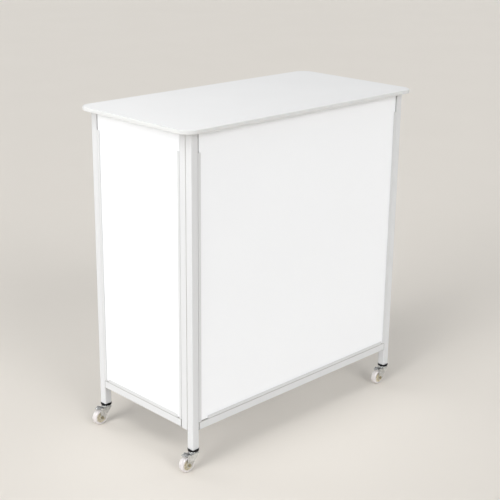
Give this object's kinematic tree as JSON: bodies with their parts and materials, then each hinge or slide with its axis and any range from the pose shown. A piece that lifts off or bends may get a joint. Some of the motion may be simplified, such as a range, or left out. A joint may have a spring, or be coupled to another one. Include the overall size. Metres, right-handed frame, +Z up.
{
  "type": "folding portable bar",
  "caption": "White counter board on a square-tube frame with plain panels on the front and sides, open at the back, rolling on braked casters; its side frames fold flat behind the front.",
  "frame": {"origin": "on the floor, under the middle of the counter board", "axes": "+Z up, +X to the right as a guest faces the bar, -Y towards the guest, +Y towards the open back"},
  "size_m": [1.0035, 0.5, 1.05],
  "materials": {
    "coated_steel": "white powder coat, satin",
    "panel_sheet": "plain white sheet, satin",
    "board_laminate": "white laminate over a fibre board, satin",
    "white_plastic": "extruded or moulded white plastic",
    "black_plastic": "moulded black plastic",
    "zinc_steel": "bright zinc plated pressed steel",
    "clear_tread": "clear cast polyurethane, glossy",
    "birch_peg": "turned birch dowel"
  },
  "bodies": {
    "front_frame": {"front_bottom_rail": "coated_steel", "front_top_rail": "coated_steel", "front_panel": "panel_sheet", "front_bottom_channel": "white_plastic", "front_left_channel": "white_plastic", "front_right_channel": "white_plastic", "front_left_leg": "coated_steel", "front_left_cap": "white_plastic", "front_left_caster_socket": "black_plastic", "left_lower_hinge_leg_leaf": "zinc_steel", "left_upper_hinge_leg_leaf": "zinc_steel", "front_right_leg": "coated_steel", "front_right_cap": "white_plastic", "front_right_caster_socket": "black_plastic", "right_lower_hinge_leg_leaf": "zinc_steel", "right_upper_hinge_leg_leaf": "zinc_steel"},
    "left_side_frame": {"left_bottom_rail": "coated_steel", "left_top_rail": "coated_steel", "left_panel": "panel_sheet", "left_bottom_channel": "white_plastic", "left_front_channel": "white_plastic", "left_rear_channel": "white_plastic", "left_stile": "coated_steel", "rear_left_leg": "coated_steel", "rear_left_cap": "white_plastic", "rear_left_caster_socket": "black_plastic", "left_lower_hinge_stile_leaf": "zinc_steel", "left_upper_hinge_stile_leaf": "zinc_steel"},
    "right_side_frame": {"right_bottom_rail": "coated_steel", "right_top_rail": "coated_steel", "right_panel": "panel_sheet", "right_bottom_channel": "white_plastic", "right_front_channel": "white_plastic", "right_rear_channel": "white_plastic", "right_stile": "coated_steel", "rear_right_leg": "coated_steel", "rear_right_cap": "white_plastic", "rear_right_caster_socket": "black_plastic", "right_lower_hinge_stile_leaf": "zinc_steel", "right_upper_hinge_stile_leaf": "zinc_steel"},
    "counter": {"counter_board": "board_laminate", "left_peg": "birch_peg", "right_peg": "birch_peg"},
    "front_left_swivel": {"front_left_caster_fork": "zinc_steel", "front_left_caster_axle": "zinc_steel"},
    "front_left_wheel": {"front_left_caster_wheel": "clear_tread"},
    "front_left_brake": {"front_left_caster_pedal": "zinc_steel"},
    "rear_left_swivel": {"rear_left_caster_fork": "zinc_steel", "rear_left_caster_axle": "zinc_steel"},
    "rear_left_wheel": {"rear_left_caster_wheel": "clear_tread"},
    "rear_left_brake": {"rear_left_caster_pedal": "zinc_steel"},
    "front_right_swivel": {"front_right_caster_fork": "zinc_steel", "front_right_caster_axle": "zinc_steel"},
    "front_right_wheel": {"front_right_caster_wheel": "clear_tread"},
    "front_right_brake": {"front_right_caster_pedal": "zinc_steel"},
    "rear_right_swivel": {"rear_right_caster_fork": "zinc_steel", "rear_right_caster_axle": "zinc_steel"},
    "rear_right_wheel": {"rear_right_caster_wheel": "clear_tread"},
    "rear_right_brake": {"rear_right_caster_pedal": "zinc_steel"}
  },
  "joints": [
    {"name": "left_side_fold", "type": "hinge", "parent": "front_frame", "child": "left_side_frame", "pos_m": [-0.4347, -0.2005, 0.28], "axis": [0, 0, -1], "range_deg": [0, 90]},
    {"name": "right_side_fold", "type": "hinge", "parent": "front_frame", "child": "right_side_frame", "pos_m": [0.4347, -0.2005, 0.28], "axis": [0, 0, 1], "range_deg": [0, 90]},
    {"name": "counter_lift", "type": "slide", "parent": "front_frame", "child": "counter", "axis": [0, 0, 1], "range_m": [0, 0.06]},
    {"name": "front_left_caster_swivel", "type": "hinge", "parent": "front_frame", "child": "front_left_swivel", "pos_m": [-0.4515, -0.2135, 0.06], "axis": [0, 0, 1], "continuous": true},
    {"name": "front_left_wheel_roll", "type": "hinge", "parent": "front_left_swivel", "child": "front_left_wheel", "pos_m": [-0.4785, -0.2135, 0.025], "axis": [0, 1, 0], "continuous": true},
    {"name": "front_left_brake_press", "type": "hinge", "parent": "front_left_swivel", "child": "front_left_brake", "pos_m": [-0.4765, -0.2135, 0.05333], "axis": [0, -1, 0], "range_deg": [0, 24]},
    {"name": "rear_left_caster_swivel", "type": "hinge", "parent": "left_side_frame", "child": "rear_left_swivel", "pos_m": [-0.4515, 0.2135, 0.06], "axis": [0, 0, 1], "continuous": true},
    {"name": "rear_left_wheel_roll", "type": "hinge", "parent": "rear_left_swivel", "child": "rear_left_wheel", "pos_m": [-0.4785, 0.2135, 0.025], "axis": [0, 1, 0], "continuous": true},
    {"name": "rear_left_brake_press", "type": "hinge", "parent": "rear_left_swivel", "child": "rear_left_brake", "pos_m": [-0.4765, 0.2135, 0.05333], "axis": [0, -1, 0], "range_deg": [0, 24]},
    {"name": "front_right_caster_swivel", "type": "hinge", "parent": "front_frame", "child": "front_right_swivel", "pos_m": [0.4515, -0.2135, 0.06], "axis": [0, 0, 1], "continuous": true},
    {"name": "front_right_wheel_roll", "type": "hinge", "parent": "front_right_swivel", "child": "front_right_wheel", "pos_m": [0.4245, -0.2135, 0.025], "axis": [0, 1, 0], "continuous": true},
    {"name": "front_right_brake_press", "type": "hinge", "parent": "front_right_swivel", "child": "front_right_brake", "pos_m": [0.4265, -0.2135, 0.05333], "axis": [0, -1, 0], "range_deg": [0, 24]},
    {"name": "rear_right_caster_swivel", "type": "hinge", "parent": "right_side_frame", "child": "rear_right_swivel", "pos_m": [0.4515, 0.2135, 0.06], "axis": [0, 0, 1], "continuous": true},
    {"name": "rear_right_wheel_roll", "type": "hinge", "parent": "rear_right_swivel", "child": "rear_right_wheel", "pos_m": [0.4245, 0.2135, 0.025], "axis": [0, 1, 0], "continuous": true},
    {"name": "rear_right_brake_press", "type": "hinge", "parent": "rear_right_swivel", "child": "rear_right_brake", "pos_m": [0.4265, 0.2135, 0.05333], "axis": [0, -1, 0], "range_deg": [0, 24]}
  ]
}
